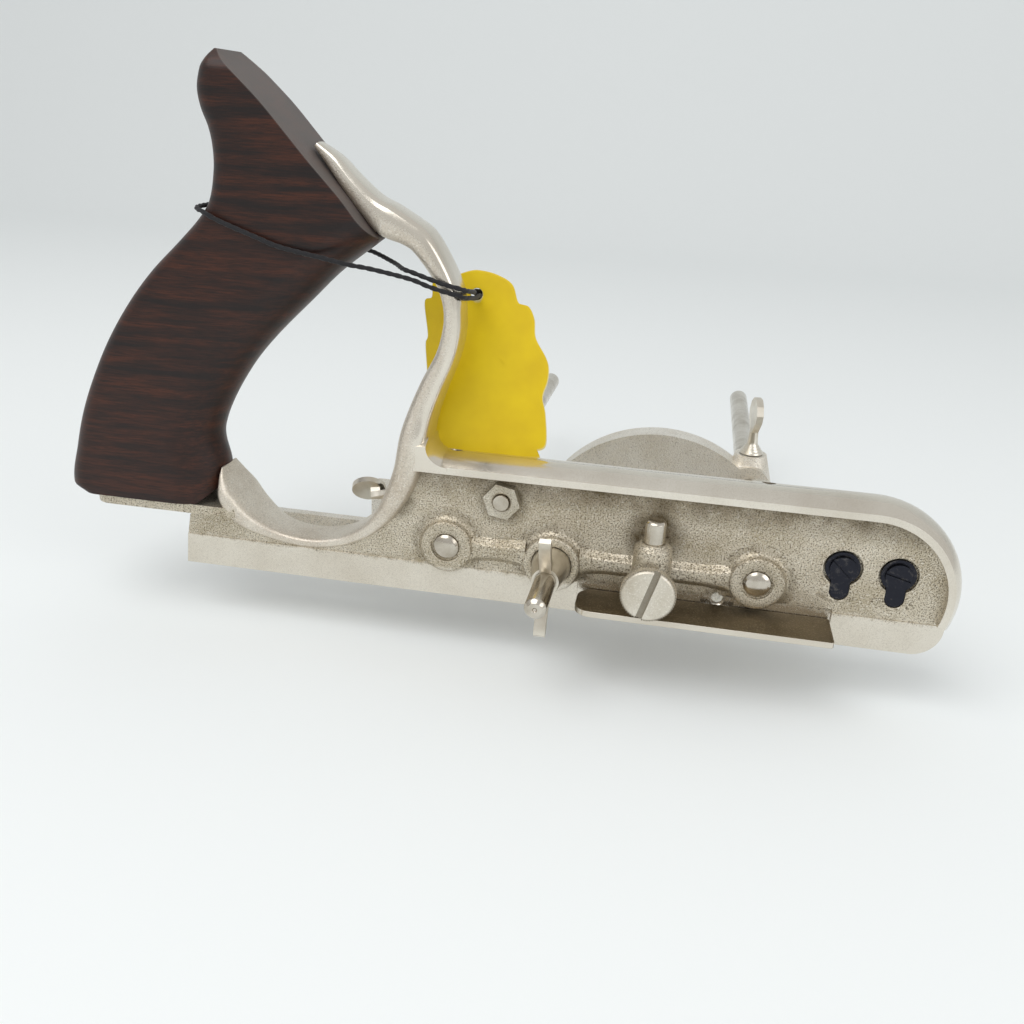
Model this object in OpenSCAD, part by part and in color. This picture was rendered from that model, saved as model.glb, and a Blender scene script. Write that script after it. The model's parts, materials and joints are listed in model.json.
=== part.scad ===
// Combination plane: a main stock with its handle loop, a sliding section and a fence on two arms.
// X runs along the skate towards the toe, Y to the left, Z up. The sole is at zero height and
// the datum lies on it, in the middle of the skate's thickness.

/* [Main stock] */
// Length of the skate behind the datum
back_len = 117.5; // [113:0.5:122]
// Length from the datum to the crest of the nose
front_len = 118.5; // [117:0.5:126]
// Thickness of the skate
skate_t = 3.2; // [2.8:0.1:3.6]
// Height of the milled band along the skate
band_h = 10; // [9:0.5:11]
// Thickness of the cast web
web_t = 4.7; // [4.2:0.1:5.2]
// Height of the rim at its side
rim_z = 42.5; // [41.5:0.5:45]
// Width of the rim
rim_w = 15.7; // [15:0.1:17]
// Radius of the rim's crowned top
crown_r = 12.5; // [11.5:0.5:15]
// Height of the rim's side
lip_h = 2.1; // [1.6:0.1:2.6]
// Radius of the nose at the rim's side
nose_r = 24.5; // [23:0.5:25]
// Radius of the lower corner of the toe
toe_r = 8.5; // [7:0.5:9]
// Height of the bosses over the right face of the web
boss_h = 2.9; // [2.5:0.1:3.2]

/* [Handle loop] */
// Width of the loop's bar
loop_w = 13; // [12:0.5:14]
// Radius of the bowl cut out of the web below the loop
bowl_r = 31; // [30:0.5:32]
// Width of the ledge under the wooden handle
ledge_w = 20; // [16:0.5:22]
// Thickness of the ledge
ledge_t = 3; // [2.5:0.1:3.4]

/* [Wooden handle] */
// Thickness of the wood
wood_t = 23.5; // [21:0.5:25]
// Radius along the back edges of the wood
wood_round = 5; // [3:0.5:7]
// Diameter of the handle screw
handle_screw_d = 4.8; // [4:0.1:5.6]

/* [Arms] */
// Diameter of the two arms
arm_d = 7.94; // [7:0.02:8.4]
// Height of the arms over the sole
arm_z = 17.2; // [16.8:0.1:17.6]
// Distance of the rear arm behind the datum
rear_arm_back = 31; // [29:0.5:32]
// Distance of the front arm ahead of the datum
front_arm_ahead = 61.5; // [60:0.5:63]
// Reach of the arms to the left
arm_reach = 212.5; // [205:0.5:230]
// Diameter of the screws that lock the arms in the stock
set_screw_d = 3.9; // [3.2:0.1:4.2]

/* [Depth stop] */
// Distance of the stop's rod ahead of the datum
stop_ahead = 31; // [30:0.5:32]
// Distance of the stop's rod to the right of the skate's middle
stop_out = 9.6; // [9.4:0.1:10.2]
// Diameter of the rod
stop_rod_d = 6; // [5:0.1:6.2]
// Height of the rod's top at rest
stop_rod_top = 35.7; // [32:0.1:38]
// Length of the foot behind the rod
foot_back = 20.9; // [19:0.1:22]
// Length of the foot ahead of the rod
foot_front = 52.5; // [50:0.5:55]
// Thickness of the foot
foot_t = 1.85; // [1.6:0.05:2.1]
// Height of the foot's underside at rest
foot_z = 5.9; // [5.8:0.1:6.1]
// Diameter of the stop screw's knob
knob_d = 15.9; // [14:0.1:17]
// Thickness of the knob
knob_t = 3.5; // [3:0.1:4.5]
// Number of knurls round the knob
knurls = 64; // [48:4:72]

/* [Clamp bolt] */
// Height of the clamp bolt over the sole
clamp_z = 15.4; // [15.2:0.1:15.8]
// Distance of the clamp bolt ahead of the datum
clamp_ahead = 1.4; // [0.8:0.1:1.8]
// Diameter of the clamp bolt
bolt_d = 6.3; // [5.6:0.1:6.5]
// Reach of the clamp bolt to the right
bolt_reach = 34.6; // [30:0.1:38]
// Length of the bolt's hooked head
hook_len = 19; // [18.5:0.5:21]
// Span of the wing nut
wing_span = 30.8; // [28:0.2:33]
// Thickness of the wings
wing_t = 3.4; // [2.8:0.1:4]

/* [Adjusting lever] */
// Distance of the lever's stud behind the datum
lever_back = 14.6; // [14:0.1:15]
// Height of the lever's stud
lever_z = 33.6; // [33:0.1:34]
// Diameter of the stud
stud_d = 4.8; // [4:0.1:5.2]
// Thickness of the lever
lever_t = 1.8; // [1.4:0.1:1.8]
// Width of the stud's nut across its flats
nut_af = 10; // [9:0.1:10.5]

/* [Spurs] */
// Diameter of a spur
spur_d = 9.8; // [9:0.1:10.4]
// Thickness of a spur
spur_t = 1.4; // [1:0.1:1.5]
// Diameter of a spur screw's shank
spur_screw_d = 2.9; // [2.5:0.1:3.1]
// Diameter of a spur screw's head
spur_head_d = 7.4; // [6.5:0.1:7.8]

/* [Sliding section] */
// Distance of the section from the skate's middle
section_y = 16.7; // [16.6:0.1:18]
// Length of the section behind the datum
section_back = 104; // [96:0.5:108]
// Length of the section ahead of the datum
section_front = 96; // [90:0.5:108]
// Height of the section's skate
section_h = 13.5; // [12.8:0.1:13.6]
// Length of the section's arm bosses
section_boss = 16.3; // [15:0.1:17]

/* [Fence] */
// Distance of the fence from the skate's middle
fence_y = 78.4; // [60:0.1:90]
// Radius of the fence's arch
arch_r = 46.5; // [44:0.5:48]
// Depth of the fence below the sole
fence_drop = 18; // [14:0.5:22]
// Length of the fence behind the datum
fence_back = 81.5; // [76:0.5:90]
// Length of the fence ahead of the datum
fence_front = 111.5; // [100:0.5:118]
// Thickness of the fence's wall
fence_wall = 3; // [2.6:0.1:4]
// Depth of the rim round the fence
fence_rim = 9.6; // [8:0.1:10]
// Length of the fence's sleeves
sleeve_len = 19.6; // [18:0.1:24]
// Diameter of the two holes for a wooden facing
facing_hole_d = 4.5; // [4:0.1:6]

/* [Thumbscrews] */
// Diameter of a thumbscrew's shank
thumb_d = 3.9; // [3.2:0.1:4.2]
// Width of a thumbscrew's blade
blade_w = 12; // [10:0.5:13]
// Thickness of a thumbscrew's blade
blade_t = 2.4; // [2:0.1:2.8]

/* [Tag] */
// Thickness of the card
tag_t = 0.5; // [0.3:0.05:0.7]
// Lean of the card away from the rim
tag_lean = 15; // [13:0.5:17]
// Diameter of the string
string_d = 1.4; // [1.1:0.1:1.5]

/* [Hidden] */

$fn = 48;
// Radial clearance of a running fit, clearance between faces, and overlap where solids join
fit = 0.05;
gap = 0.3;
lap = 1;
// A length that reaches past whatever it cuts
far = 60;

// Faces of the skate and of the web
skate_face = -skate_t / 2;
web_face = skate_face + gap;
web_left = web_face + web_t;
boss_face = web_face - boss_h;

// The rim: crest of its crown, middle of its width, and centre of the nose
rim_mid = boss_face + rim_w / 2;
crest_r = nose_r + crown_r - sqrt(crown_r * crown_r - rim_w * rim_w / 4);
nose_x = round((front_len - crest_r) * 100) / 100;
nose_z = rim_z - nose_r;
web_top = rim_z - lip_h / 2;
nose_turn = 19;
toe_x = nose_x + nose_r - toe_r - 0.5;

// The loop: places along it count from the heel
heel_x = -back_len;
loop_y = 4.7;
bowl = [heel_x + 41.5, 12 + bowl_r];
rim_start = heel_x + 74.5;
ledge_top = 21.7;
ledge_z = ledge_top - ledge_t;
ledge_x0 = heel_x - 29.5;
ledge_x1 = heel_x + 19;

// Stations of the loop's bar: distance from the heel, height, thickness, width beside loop_w
LOOP = [[14.3, 35, 1.5, 0], [15.4, 29.5, 3.4, 3], [18, 23, 5, 4], [22.5, 17.5, 5, 2],
    [29.5, 13.3, 4, 0], [40.5, 11.4, 3.8, 0], [51.5, 13.2, 3.9, 0], [60, 17.7, 4.6, 0],
    [65.5, 24, 5.2, 0], [68.7, 31, 6.4, 0], [71.2, 39, 7.4, 0], [73.6, 49, 8, 0],
    [76.3, 57, 7.7, 0], [80.1, 65.5, 7.2, 0], [83.5, 73.3, 6.5, 0], [85.2, 80, 6, 0],
    [85.5, 86, 5.4, 0], [84.6, 92, 5.8, 0], [81.9, 97.8, 6.2, 0], [76.5, 105.3, 7.5, 0],
    [72.2, 108.2, 8, 0], [66, 110.9, 9.3, 0], [60.9, 114.6, 7, -1], [55.4, 120, 5.5, -2.5],
    [50.5, 125.3, 4.4, -4.5], [45.5, 129.5, 2, -7]];

// Outlines of the wooden handle: height, distance from the heel
WOOD_BACK = [[22, -32.5], [24.6, -36.1], [37.2, -33.5], [48.6, -30.1], [60.5, -25], [72.3, -18.7],
    [83.9, -10.8], [93.1, -3], [101.6, 5.8], [108.8, 12.7], [113.9, 16.6], [121.1, 18.3],
    [132.1, 17.8], [139, 15.7], [144.9, 15.3], [152.2, 16.5]];
WOOD_FRONT = [[22, 13], [30, 13.4], [42.4, 11.8], [51.8, 14.7], [65.2, 22.6], [75.1, 30.8],
    [87.1, 42.8], [95.6, 51.5], [105, 63.5], [152.2, 123]];
WOOD_FACET = [[22, 145], [105.2, 63.5], [115.5, 55], [129.5, 43.5], [139.6, 34], [144.5, 29.5],
    [150, 22.5], [152.2, 18.5]];
wood_z = ledge_top + gap;
wood_top = 152.2;
wood_rows = 30;
handle_screw_x = heel_x - 10;
handle_screw_top = 60;

// Arms
rear_arm_x = -rear_arm_back;
front_arm_x = front_arm_ahead;
arm_r = arm_d / 2;
arm_near = -5;
arm_boss_r = arm_r + 3.33;
set_screw_y = web_left + 2.8;
left_boss_y = web_left + 5.6;

// Depth stop
stop_x = stop_ahead;
stop_y = -stop_out;
stop_r = stop_rod_d / 2;
stop_boss_r = stop_r + 2.35;
stop_boss_z0 = foot_z + foot_t + 3.45;
stop_boss_top = 28.9;
stop_screw_z = 16.7;
stop_screw_r = 2.4;
knob_y = stop_y - 7;
pocket_face = skate_face + 1;
pocket_h = 11;
foot_y1 = pocket_face - gap;
foot_y0 = stop_y - 6.5;
foot_clear = 9.6;
tenon_r = stop_r - 1;

// Clamp bolt and wing nut
bolt_r = bolt_d / 2;
clamp_x = clamp_ahead;
clamp_boss_r = bolt_r + 4.95;
clamp_left = web_left + 8;
dish_r = clamp_boss_r - 1.9;
dish_depth = 2.4;
hook_y = clamp_left + 0.6;
hook_t = 2.2;
hook_w = bolt_d + 2;

// Bed of the cutter: a line at 45 degrees that meets the sole at the mouth
mouth_x = 36;
MOUTH = [[mouth_x + 1, -1], [mouth_x - pocket_h, pocket_h], [mouth_x + 1.5, pocket_h],
    [mouth_x + 1.8, 8], [mouth_x + 5.5, 1.5], [mouth_x + 5.5, -1]];
frog_t = 8;

// Adjusting lever
lever_x = -lever_back;
stud_r = stud_d / 2;
lever_boss_r = stud_r + 3.6;
lever_y = clamp_left + 0.4;
washer_t = 0.6;
washer_y = lever_y + lever_t + gap;
stud_head_y = washer_y + washer_t + fit;
pad_x = lever_x - 46.4;
pad_z = lever_z - 9.1;
pad_r = 5.2;
nut_t = 3;
nut_y = web_face - fit - nut_t;

// Spurs: seats of the two stored ones, and place of the working ones
STORED = [[nose_x - 6.5, nose_z + 6.2], [nose_x + 8.9, nose_z + 5.8]];
spur_slots = [43, 15];
spur_seat = [51.1, 9];
spur_r = spur_d / 2;
spur_screw_r = spur_screw_d / 2;
spur_head_r = spur_head_d / 2;
spur_sink = spur_t + 0.2;

// Sliding section
section_web_y = section_y + 0.5;
section_web_t = 5;
section_left = section_y + skate_t;
section_boss_r = arm_r + 4.03;
section_screw_y = section_y + 8.3;
section_screw_z = arm_z + 10.3;

// Fence
arch_x = 29;
arch_z = -12;
rail_z = 2;
sleeve_r = arm_r + 4.23;
fence_screw_y = fence_y + 8.5;
fence_seat_z = arm_z + 11.3;
facing_x = [-55, 92];
facing_z = -8;

// Thumbscrews
thumb_r = thumb_d / 2;
shank_z = arm_z + arm_r + fit;

// Tag: its lower edge stands over the far shoulder of the rim
tag_x = heel_x + 96;
tag_y = boss_face + rim_w - 0.7;
tag_z = nose_z + crest_r - crown_r + sqrt(pow(crown_r, 2) - pow(tag_y - rim_mid, 2)) + 2.1;
TAG = [[-20.7, 48.2], [-11.5, 52.2], [-6.9, 52.6], [-1.9, 51.5], [2.3, 49.1], [4.6, 44], [7.8, 43.1],
    [9.9, 39.4], [10.8, 34.1], [14.3, 28.8], [15.6, 25.6], [15.7, 21.5], [14.7, 16.6], [16.1, 11.3],
    [17, 2.3], [13.5, 0.1], [13.7, -1.2], [-13.6, -0.3], [-16, 2.3], [-22, 23.4], [-22.9, 29.7],
    [-22.5, 32.5], [-24.3, 42], [-22.2, 43.7], [-22.3, 47.8]];
tag_hole = [-8.4, 45.6];

// Route of the string: from the knot behind the tag round the loop's bar and the handle's neck, and back
string_r = string_d / 2;
knot_at = [-29.9, 25.3, 88.8];
ROUTE = [[-29.1, 24.2, 88.6], [-29.1, 20.5, 88.9], [-28.5, 14, 89.4], [-28.1, 6, 90.7],
    [-28.2, 0, 91.6], [-29.8, -2.9, 92.6], [-33.5, -3.5, 93.4], [-38, -3.9, 94.6], [-43, -5, 96.4],
    [-53.6, -6, 98.4], [-60, -7.6, 99.4], [-66.7, -8.4, 100.7], [-79, -8.4, 102.8],
    [-86, -8.4, 105], [-96.6, -8.4, 108.6], [-101, -8.2, 110.6], [-104.8, -4.5, 111.4],
    [-105.4, 4.7, 111.6], [-104.8, 13.9, 111.4], [-101, 17.6, 110.4], [-90, 17.9, 106.4],
    [-78, 17.9, 102.6], [-68, 17.8, 101], [-61, 16.4, 100.3], [-51, 6.4, 98.9], [-46, -1.5, 98.5],
    [-43, -3.1, 98], [-38, -3, 96.5], [-33.5, -3, 95.3], [-29.5, -2.8, 94.5], [-27.9, 0, 93.6],
    [-27.8, 6, 92.5], [-29, 14, 91.2], [-30.7, 20.5, 90], [-30.7, 24.2, 89.2]];

NICKEL = "#b9ab98";
STEEL = "#a39a8d";
BLUED = "#4a4a50";
WOOD = "#55291c";
CARD = "#d9a722";
CORD = "#1e1d20";

// A flat shape in X and Z, with thickness t along Y from y0
module plate(y0, t) translate([0, y0 + t, 0]) rotate([90, 0, 0]) linear_extrude(t) children();

// A flat shape in Y and Z, with length n along X from x0
module bar(x0, n) translate([x0, 0, 0]) rotate([90, 0, 90]) linear_extrude(n) children();

// A cylinder or cone along Y
module rod_y(x, z, y0, y1, r0, r1) translate([x, y0, z]) rotate([-90, 0, 0])
    cylinder(r1 = r0, r2 = is_undef(r1) ? r0 : r1, h = y1 - y0);

// A cylinder or cone along Z
module rod_z(x, y, z0, z1, r0, r1) translate([x, y, z0])
    cylinder(r1 = r0, r2 = is_undef(r1) ? r0 : r1, h = z1 - z0);

// Index of the row of table t that comes before v, and the table's smooth value there
function row(v, t, i = 0) = i >= len(t) - 2 || v < t[i + 1][0] ? i : row(v, t, i + 1);
function rise(t, i) = let (a = max(i - 1, 0), b = min(i + 1, len(t) - 1))
    (t[b][1] - t[a][1]) / (t[b][0] - t[a][0]);
function smooth(v, t) = let (i = row(v, t), h = t[i + 1][0] - t[i][0], u = (v - t[i][0]) / h)
    t[i][1] * (2 * u * u * u - 3 * u * u + 1) + rise(t, i) * h * (u * u * u - 2 * u * u + u)
    + t[i + 1][1] * (3 * u * u - 2 * u * u * u) + rise(t, i + 1) * h * (u * u * u - u * u);

// Point of a smooth curve through list p, n steps from point to point
function blend(a, b, c, d, u) = b + ((c - a) * u + (2 * a - 5 * b + 4 * c - d) * u * u
    + (3 * b - a - 3 * c + d) * u * u * u) / 2;
function curve(p, n) = [for (i = [0:len(p) - 2], k = [0:n - 1])
    blend(p[max(i - 1, 0)], p[i], p[i + 1], p[min(i + 2, len(p) - 1)], k / n), p[len(p) - 1]];

// Skin over closed rings of equal count, in order along the solid
module loft(rings) {
    n = len(rings[0]);
    m = len(rings);
    points = [for (r = rings, q = r) q];
    sides = [for (i = [0:m - 2], j = [0:n - 1], s = [0, 1]) let (a = i * n + j,
        b = i * n + (j + 1) % n) s == 0 ? [a, b, b + n] : [a, b + n, a + n]];
    ends = [[for (j = [n - 1:-1:0]) j], [for (j = [0:n - 1]) (m - 1) * n + j]];
    polyhedron(points, concat(sides, ends));
}

// Ring of the loop's bar: a rounded box across the direction of travel
function round_box(a, e) = [sign(cos(a)) * pow(abs(cos(a)), e), sign(sin(a)) * pow(abs(sin(a)), e)];
function loop_ring(p, q, s) = let (d = [q[0] - p[0], q[1] - p[1]], m = norm(d), nx = -d[1] / m,
    nz = d[0] / m) [for (a = [348.75:-22.5:0]) let (c = round_box(a, 0.77), w = c[0] * (loop_w + s[3]) / 2,
    t = c[1] * s[2] / 2) [heel_x + s[0] + nx * t, loop_y + w, s[1] + nz * t]];

// The loop is cast with the stock, and runs into it at the heel, the bowl and the rim
module handle_loop() color(NICKEL) {
    path = curve(LOOP, 2);
    last = len(path) - 1;
    loft([for (i = [0:last]) loop_ring(path[max(i - 1, 0)], path[min(i + 1, last)], path[i])]);
}

// Section of the rim, across it and outwards from the nose's centre
module rim_section() intersection() {
    translate([rim_mid, crest_r - crown_r]) circle(crown_r, $fn = 96);
    translate([boss_face, nose_r - lip_h]) square([rim_w, lip_h + crown_r]);
}

module rim() {
    bar(rim_start, nose_x - rim_start) translate([0, nose_z]) rim_section();
    translate([nose_x, 0, nose_z]) rotate([-90, 0, 0]) rotate([0, 0, -90])
        rotate_extrude(angle = 90 + nose_turn, $fn = 96) mirror([1, -1]) rim_section();
}

module stock_outline() difference() {
    union() {
        polygon([[heel_x, 0], [heel_x + 0.8, band_h], [heel_x + 1.9, 16.5], [heel_x + 5, ledge_z + 1],
            [heel_x + 20, ledge_z + 1], [heel_x + 57, 19], [heel_x + 57, web_top], [nose_x, web_top],
            [nose_x, 0]]);
        intersection() {
            translate([nose_x, nose_z]) circle(nose_r - lip_h / 2, $fn = 96);
            translate([nose_x - lap, toe_r]) square([far, far]);
        }
        translate([nose_x - lap, 0]) square([toe_x - nose_x + lap, nose_z]);
        translate([nose_x - lap, toe_r]) square([toe_x + toe_r - nose_x + lap, 2.2]);
        translate([toe_x, toe_r]) circle(toe_r);
    }
    translate(bowl) circle(bowl_r, $fn = 96);
}

// The keyhole that a stored spur lies in
module keyhole(p) {
    plate(web_face - lap, spur_sink + lap) {
        translate(p) circle(spur_r + 1.25);
        translate([p[0] - 3.3, p[1] - 10]) square([6.6, 10]);
    }
    rod_y(p[0], p[1], web_face, web_left + lap, spur_screw_r + fit);
}

module stock_bosses() {
    for (x = [rear_arm_x, front_arm_x]) {
        rod_y(x, arm_z, boss_face, web_face, arm_boss_r, arm_boss_r + 1.5);
        rod_y(x, arm_z, web_face, left_boss_y, arm_boss_r);
    }
    rod_y(clamp_x, clamp_z, boss_face, web_face, clamp_boss_r, clamp_boss_r + 1.2);
    rod_y(clamp_x, clamp_z, web_face, clamp_left, clamp_boss_r - 1.1);
    rod_y(lever_x, lever_z, web_face, clamp_left + 0.1, lever_boss_r);
    bar(rear_arm_x, front_arm_x - rear_arm_x)
        polygon([[web_face + lap, arm_z - 2.8], [boss_face + 0.9, arm_z - 1.5],
            [boss_face + 0.9, arm_z + 0.9], [web_face + lap, arm_z + 2.2]]);
}

// The boss that guides the depth stop's rod, with the boss of its screw
module stop_boss() {
    rod_z(stop_x, stop_y, stop_boss_z0, stop_boss_top - 1.5, stop_boss_r);
    rod_z(stop_x, stop_y, stop_boss_top - 1.5, stop_boss_top, stop_boss_r, stop_boss_r - 1.5);
    translate([stop_x - 4, stop_y, stop_boss_z0]) cube([8, web_face - stop_y + lap, 16.2]);
    rod_y(stop_x, stop_screw_z, knob_y + gap, stop_y, stop_screw_r + 2.6);
}

module main_stock() color(NICKEL) difference() {
    union() {
        plate(skate_face, skate_t) intersection() {
            stock_outline();
            translate([-far * 3, 0]) square([far * 6, band_h]);
        }
        plate(web_face, web_t) intersection() {
            stock_outline();
            translate([-far * 3, band_h]) square([far * 6, far]);
        }
        rim();
        stock_bosses();
        stop_boss();
        plate(web_left - lap, clamp_left - web_left + lap)
            polygon([[mouth_x - band_h, band_h], [mouth_x - 26, 26], [mouth_x - 26 - frog_t * 0.7,
                26 - frog_t * 0.7], [mouth_x - band_h - frog_t * 1.4, band_h]]);
        translate([0, loop_y, ledge_z]) linear_extrude(ledge_t) {
            translate([ledge_x0 + 6, -ledge_w / 2]) square([ledge_x1 - ledge_x0 - 6, ledge_w]);
            translate([ledge_x0, 6 - ledge_w / 2]) square([ledge_x1 - ledge_x0, ledge_w - 12]);
            for (s = [-1, 1]) translate([ledge_x0 + 6, s * (ledge_w / 2 - 6)]) circle(6);
        }
    }
    for (x = [rear_arm_x, front_arm_x]) {
        rod_y(x, arm_z, boss_face - lap, left_boss_y + lap, arm_r + fit);
        rod_y(x, arm_z, boss_face - lap, boss_face + 0.6, arm_r + 0.63);
        rod_z(x, set_screw_y, arm_z, arm_z + far / 2, set_screw_d / 2 + fit);
    }
    rod_y(clamp_x, clamp_z, boss_face - lap, clamp_left + lap, bolt_r + fit);
    rod_y(clamp_x, clamp_z, boss_face, boss_face + dish_depth, dish_r, dish_r - 2.2);
    rod_y(lever_x, lever_z, web_face - far, clamp_left + far, stud_r + fit);
    translate([stop_x - foot_back - 0.6, -far, -lap])
        cube([foot_back + foot_front + 1, far + pocket_face, foot_clear + lap]);
    plate(skate_face - lap, 1 + lap)
        translate([stop_x - foot_back - 0.6, 0]) square([foot_back + foot_front + 1, pocket_h]);
    plate(-far, far * 2) polygon(MOUTH);
    rod_z(stop_x, stop_y, 0, far, stop_r + fit);
    rod_y(stop_x, stop_screw_z, knob_y - lap, stop_y, stop_screw_r + fit);
    rod_y(spur_seat[0], spur_seat[1], skate_face - lap, pocket_face + 1.2, spur_r + 0.1);
    rod_y(spur_seat[0], spur_seat[1], pocket_face, far, spur_screw_r + 0.15);
    rod_y(spur_seat[0], spur_seat[1], pocket_face + 1.1, pocket_face + 1.8, spur_screw_r + 0.85,
        spur_screw_r + 0.15);
    for (p = STORED) keyhole(p);
    rod_z(handle_screw_x, loop_y, 0, far, handle_screw_d / 2 + 0.2);
}

// Half width of the wood at x, between its back edge xb and its front edge xf
function wood_half(x, xb, xf, rb, rf) = let (h = wood_t / 2, c = xf - rf, b = xb + rb,
    w = x > c ? h * sqrt(max(0, 1 - pow((x - c) / rf, 2))) : h,
    v = x < b ? h - wood_round + wood_round * sqrt(max(0, 1 - pow((b - x) / rb, 2))) : h)
    max(0.5, min(w, v));
function wood_ring(z) = let (xb = smooth(z, WOOD_BACK), xf = smooth(z, WOOD_FRONT),
    xe = min(xf, lookup(z, WOOD_FACET)), rb = min(wood_round * 1.15, (xe - xb) / 2.2),
    rf = wood_t * 0.6, xs = max(xb + rb + 0.2, min(xf - rf, xe - 3)),
    x = concat([for (a = [0:30:90]) xb + rb * (1 - cos(a))],
        [for (a = [0:18:90]) xs + (xe - xs) * sin(a)]))
    concat([for (i = [0:len(x) - 1]) [heel_x + x[i], loop_y + wood_half(x[i], xb, xf, rb, rf), z]],
        [for (i = [len(x) - 1:-1:0]) [heel_x + x[i], loop_y - wood_half(x[i], xb, xf, rb, rf), z]]);

module wooden_handle() color(WOOD) difference() {
    loft([for (i = [0:wood_rows]) wood_ring(wood_z + (wood_top - wood_z) * i / wood_rows)]);
    rod_z(handle_screw_x, loop_y, ledge_top - lap, handle_screw_top + 0.5, handle_screw_d / 2 + fit);
}

module handle_screw() color(STEEL) difference() {
    union() {
        rod_z(handle_screw_x, loop_y, ledge_z - fit - lap, handle_screw_top, handle_screw_d / 2);
        rod_z(handle_screw_x, loop_y, ledge_z - fit - 2.2, ledge_z - fit, handle_screw_d / 2 + 1.8,
            handle_screw_d / 2 + 2.2);
    }
    translate([handle_screw_x - far, loop_y - 0.5, ledge_z - 4]) cube([far * 2, 1, 2.6]);
}

// An arm: a plain rod with domed ends
module arm(x) color(STEEL) {
    rod_y(x, arm_z, arm_near + 0.9, arm_reach - 0.9, arm_r);
    rod_y(x, arm_z, arm_near, arm_near + 0.9, arm_r - 1.2, arm_r);
    rod_y(x, arm_z, arm_reach - 0.9, arm_reach, arm_r, arm_r - 1.2);
}
module rear_arm() arm(rear_arm_x);
module front_arm() arm(front_arm_x);

module arm_set_screws() color(BLUED) for (x = [rear_arm_x, front_arm_x]) difference() {
    rod_z(x, set_screw_y, shank_z, arm_z + arm_boss_r + 0.4, set_screw_d / 2);
    translate([x - far, set_screw_y - 0.4, arm_z + arm_boss_r - 0.8]) cube([far * 2, 0.8, far]);
}

module depth_rod() color(STEEL) {
    rod_z(stop_x, stop_y, foot_z + foot_t + fit, stop_rod_top - 0.6, stop_r);
    rod_z(stop_x, stop_y, stop_rod_top - 0.6, stop_rod_top, stop_r, stop_r - 0.6);
    rod_z(stop_x, stop_y, foot_z, foot_z + foot_t + 0.5, tenon_r);
}

module depth_foot() color(NICKEL) translate([0, 0, foot_z]) difference() {
    linear_extrude(foot_t) difference() {
        union() {
            translate([stop_x - foot_back + 5, foot_y0])
                square([foot_back + foot_front - 6, foot_y1 - foot_y0]);
            translate([stop_x - foot_back, foot_y0 + 5]) square([20, foot_y1 - foot_y0 - 10]);
            for (y = [foot_y0 + 5, foot_y1 - 5]) translate([stop_x - foot_back + 5, y]) circle(5);
            translate([stop_x, foot_y0 + 1]) square([foot_front, foot_y1 - foot_y0 - 2]);
            for (y = [foot_y0 + 1, foot_y1 - 1]) translate([stop_x + foot_front - 1, y]) circle(1);
        }
    }
    rod_z(stop_x, stop_y, -lap, far, tenon_r + fit);
}

// Outline of a knurled rim: n teeth, d deep
function knurl(r, n, d) = [for (i = [0:2 * n - 1]) let (q = r - d * (i % 2))
    [q * cos(180 * i / n), q * sin(180 * i / n)]];

module depth_screw() color(STEEL) difference() {
    union() {
        translate([stop_x, knob_y - knob_t + 0.5, stop_screw_z]) rotate([-90, 0, 0])
            linear_extrude(knob_t - 1) polygon(knurl(knob_d / 2, knurls, 0.35));
        rod_y(stop_x, stop_screw_z, knob_y - knob_t, knob_y - knob_t + 0.5,
            knob_d / 2 - 0.9, knob_d / 2 - 0.4);
        rod_y(stop_x, stop_screw_z, knob_y - 0.5, knob_y, knob_d / 2 - 0.4, knob_d / 2 - 0.9);
        rod_y(stop_x, stop_screw_z, knob_y - 0.5, stop_y - stop_r - 0.15, stop_screw_r);
    }
    translate([stop_x, knob_y - knob_t, stop_screw_z]) rotate([0, 25, 0])
        cube([far, 3, 1.9], center = true);
}

// The clamp bolt: its head hooks over the bed of the cutter
module clamp_bolt() color(STEEL) {
    difference() {
        union() {
            rod_y(clamp_x, clamp_z, 1.2 - bolt_reach, hook_y + 1, bolt_r);
            rod_y(clamp_x, clamp_z, -bolt_reach, 1.2 - bolt_reach, bolt_r - 1.1, bolt_r);
        }
        rod_y(clamp_x, clamp_z, -bolt_reach - lap, 0.5 - bolt_reach, 1.4, 0.4);
    }
    translate([clamp_x, 0, clamp_z]) rotate([0, -45, 0]) {
        plate(hook_y, hook_t) {
            circle(hook_w / 2);
            translate([0, -hook_w / 2]) square([hook_len, hook_w]);
        }
        plate(hook_y - 2.6, 2.6 + lap) translate([hook_len - 3, -hook_w / 2]) square([3, hook_w]);
    }
}

// One wing in the plane of the bolt: distance from its axis, and reach to the right. The wing
// springs from the hub's outer half and passes over the foot of the depth stop
function wing() = let (w = wing_span / 2) [[2.5, 9.8], [5.5, 12.6], [8.8, 15.9], [w - 0.5, 18.4],
    [w, 19.4], [w - 1, 20.5], [w - 3.2, 20.4], [8.5, 18.4], [2.5, 15]];

module wing_nut() color(NICKEL) difference() {
    union() {
        rod_y(clamp_x, clamp_z, boss_face, boss_face + dish_depth - gap, dish_r - gap, dish_r - 2.2);
        rod_y(clamp_x, clamp_z, web_face - 12, boss_face, dish_r - 1.6, dish_r - gap);
        rod_y(clamp_x, clamp_z, web_face - 14.7, web_face - 12, dish_r - 2.2, dish_r - 1.6);
        bar(clamp_x - wing_t / 2, wing_t) for (s = [-1, 1])
            polygon([for (p = wing()) [web_face - p[1], clamp_z + s * p[0]]]);
    }
    rod_y(clamp_x, clamp_z, -far, far, bolt_r + fit);
}

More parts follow.
